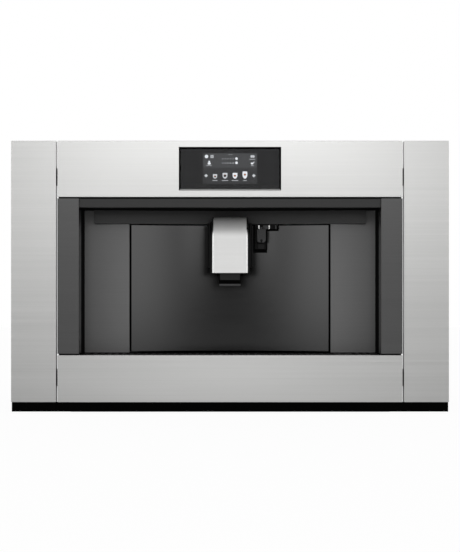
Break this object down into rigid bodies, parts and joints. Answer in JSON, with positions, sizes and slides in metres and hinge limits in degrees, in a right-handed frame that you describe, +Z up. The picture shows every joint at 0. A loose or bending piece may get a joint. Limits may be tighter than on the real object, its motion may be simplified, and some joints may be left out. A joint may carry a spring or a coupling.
{
  "type": "built-in coffee machine",
  "caption": "Built-in bean-to-cup coffee machine: steel fascias around a dark cup niche, height-adjustable spout, drip drawer, service door and pull-out runners.",
  "frame": {"origin": "on the niche floor under the middle of the machine's width and depth", "axes": "+X to the right of someone facing the machine, -Y out of its front, +Z up"},
  "size_m": [0.759, 0.398, 0.4716],
  "materials": {
    "mounting_base": "galvanised sheet, bare",
    "outer_rails": "galvanised sheet, bare",
    "middle_rails": "galvanised sheet, bare",
    "inner_rails": "galvanised sheet, bare",
    "floor_pan": "galvanised sheet, bare",
    "side_panel_left": "galvanised sheet, bare",
    "side_panel_right": "galvanised sheet, bare",
    "rear_panel": "galvanised sheet, bare",
    "top_cover": "galvanised sheet, bare",
    "case_screws": "zinc plated",
    "front_carrier": "powder coated",
    "trim_brackets": "powder coated",
    "side_trim_left": "fine horizontal brushing",
    "side_trim_right": "fine horizontal brushing",
    "control_panel": "fine horizontal brushing",
    "drawer_front": "fine horizontal brushing",
    "base_strip": "satin powder coat",
    "niche_column_left": "dark satin steel",
    "niche_column_right": "dark satin steel",
    "niche_top_bar": "polished",
    "niche_liner": "semi-gloss",
    "niche_back_left": "dark, satin",
    "niche_back_right": "dark, satin",
    "lamp_hood": "satin",
    "cup_lamps": "diffusing lens, lamp off",
    "display_glass": "smoked",
    "display_module": "screen behind the glass",
    "door_hinge_brackets": "galvanised sheet, bare",
    "steam_connector": "moulded, fine texture",
    "hot_water_spout": "ribbed",
    "service_door": "moulded frame",
    "door_skin": "dark satin steel",
    "spout_guide": "moulded, fine texture",
    "spout_carriage": "moulded, fine texture",
    "coffee_outlet": "moulded, fine texture",
    "spout_cover": "fine brushing",
    "drip_tray": "moulded, fine texture",
    "cup_grid": "dark enamel",
    "float": "red",
    "grounds_container": "moulded",
    "brew_frame": "pressed plates",
    "brew_chamber": "glass-filled",
    "lead_screw": "rolled thread",
    "brew_motor": "black can",
    "grinder_body": "die cast",
    "grinder_motor": "plated can",
    "cone_burr": "hardened",
    "bean_hopper": "clear tinted plastic",
    "hopper_lid": "black",
    "grind_knob": "black",
    "water_tank": "clear plastic",
    "tank_flap": "black",
    "tank_dock": "moulded, fine texture",
    "coffee_boiler": "machined",
    "steam_boiler": "drawn can",
    "water_pump": "pale nylon",
    "water_hoses": "silicone and PTFE pipe",
    "power_board": "green board",
    "mains_inlet": "moulded, fine texture",
    "power_switch": "rocker"
  },
  "bodies": {
    "base": {"mounting_base": "mounting_base", "outer_rails": "outer_rails"},
    "runner_middle": {"middle_rails": "middle_rails"},
    "machine": {"inner_rails": "inner_rails", "floor_pan": "floor_pan", "side_panel_left": "side_panel_left", "side_panel_right": "side_panel_right", "rear_panel": "rear_panel", "top_cover": "top_cover", "case_screws": "case_screws", "front_carrier": "front_carrier", "trim_brackets": "trim_brackets", "side_trim_left": "side_trim_left", "side_trim_right": "side_trim_right", "control_panel": "control_panel", "base_strip": "base_strip", "niche_column_left": "niche_column_left", "niche_column_right": "niche_column_right", "niche_top_bar": "niche_top_bar", "niche_liner": "niche_liner", "niche_back_left": "niche_back_left", "niche_back_right": "niche_back_right", "lamp_hood": "lamp_hood", "cup_lamps": "cup_lamps", "display_glass": "display_glass", "display_module": "display_module", "door_hinge_brackets": "door_hinge_brackets", "steam_connector": "steam_connector", "brew_frame": "brew_frame", "brew_motor": "brew_motor", "grinder_body": "grinder_body", "grinder_motor": "grinder_motor", "bean_hopper": "bean_hopper", "tank_dock": "tank_dock", "coffee_boiler": "coffee_boiler", "steam_boiler": "steam_boiler", "water_pump": "water_pump", "water_hoses": "water_hoses", "power_board": "power_board", "mains_inlet": "mains_inlet"},
    "door": {"service_door": "service_door", "door_skin": "door_skin", "spout_guide": "spout_guide"},
    "spout": {"spout_cover": "spout_cover", "spout_carriage": "spout_carriage", "coffee_outlet": "coffee_outlet"},
    "drawer": {"drawer_front": "drawer_front", "drip_tray": "drip_tray"},
    "grid": {"cup_grid": "cup_grid"},
    "float_marker": {"float": "float"},
    "grounds": {"grounds_container": "grounds_container"},
    "chamber": {"brew_chamber": "brew_chamber"},
    "screw": {"lead_screw": "lead_screw"},
    "burr": {"cone_burr": "cone_burr"},
    "knob": {"grind_knob": "grind_knob"},
    "bean_lid": {"hopper_lid": "hopper_lid"},
    "tank": {"water_tank": "water_tank"},
    "flap": {"tank_flap": "tank_flap"},
    "rocker": {"power_switch": "power_switch"},
    "water_spout": {"hot_water_spout": "hot_water_spout"}
  },
  "joints": [
    {"name": "machine_slide", "type": "slide", "parent": "base", "child": "machine", "axis": [0, -1, 0], "range_m": [0, 0.28]},
    {"name": "runner_slide", "type": "slide", "parent": "base", "child": "runner_middle", "axis": [0, -1, 0], "range_m": [0, 0.14]},
    {"name": "door_hinge", "type": "hinge", "parent": "machine", "child": "door", "pos_m": [-0.168, -0.076, 0.216], "axis": [0, 0, -1], "range_deg": [0, 95]},
    {"name": "spout_slide", "type": "slide", "parent": "door", "child": "spout", "axis": [0, 0, 1], "range_m": [-0.048, 0.012]},
    {"name": "drawer_slide", "type": "slide", "parent": "machine", "child": "drawer", "axis": [0, -1, 0], "range_m": [0, 0.16]},
    {"name": "grid_lift", "type": "slide", "parent": "drawer", "child": "grid", "axis": [0, 0, -1], "range_m": [-0.03, 0]},
    {"name": "float_lift", "type": "slide", "parent": "drawer", "child": "float_marker", "axis": [0, 0, 1], "range_m": [0, 0.006]},
    {"name": "grounds_lift", "type": "slide", "parent": "door", "child": "grounds", "axis": [0, 0, 1], "range_m": [0, 0.02]},
    {"name": "brew_slide", "type": "slide", "parent": "machine", "child": "chamber", "axis": [0, 0, 1], "range_m": [0, 0.036]},
    {"name": "screw_turn", "type": "hinge", "parent": "machine", "child": "screw", "pos_m": [0, 0.106, 0.204], "axis": [0, 0, 1], "continuous": true},
    {"name": "burr_spin", "type": "hinge", "parent": "machine", "child": "burr", "pos_m": [-0.1775, 0.065, 0.29], "axis": [0, 0, 1], "continuous": true},
    {"name": "knob_turn", "type": "hinge", "parent": "machine", "child": "knob", "pos_m": [-0.072, 0.06, 0.44], "axis": [0, 0, 1], "range_deg": [0, 300]},
    {"name": "lid_hinge", "type": "hinge", "parent": "machine", "child": "bean_lid", "pos_m": [-0.1775, 0.166, 0.4448], "axis": [-1, 0, 0], "range_deg": [0, 100]},
    {"name": "tank_slide", "type": "slide", "parent": "machine", "child": "tank", "axis": [1, 0, 0], "range_m": [0, 0.16]},
    {"name": "flap_hinge", "type": "hinge", "parent": "tank", "child": "flap", "pos_m": [0.175, 0.06, 0.309], "axis": [0, -1, 0], "range_deg": [0, 90]},
    {"name": "switch_rock", "type": "hinge", "parent": "machine", "child": "rocker", "pos_m": [0.135, 0.1936, 0.06], "axis": [-1, 0, 0], "range_deg": [0, 16]},
    {"name": "water_spout_pull", "type": "slide", "parent": "machine", "child": "water_spout", "axis": [0, -1, 0], "range_m": [0, 0.03]}
  ],
  "couplings": [
    {"joint": "runner_slide", "follows": "machine_slide", "ratio": 0.5},
    {"joint": "screw_turn", "follows": "brew_slide", "rad_per_m": 698.13}
  ]
}
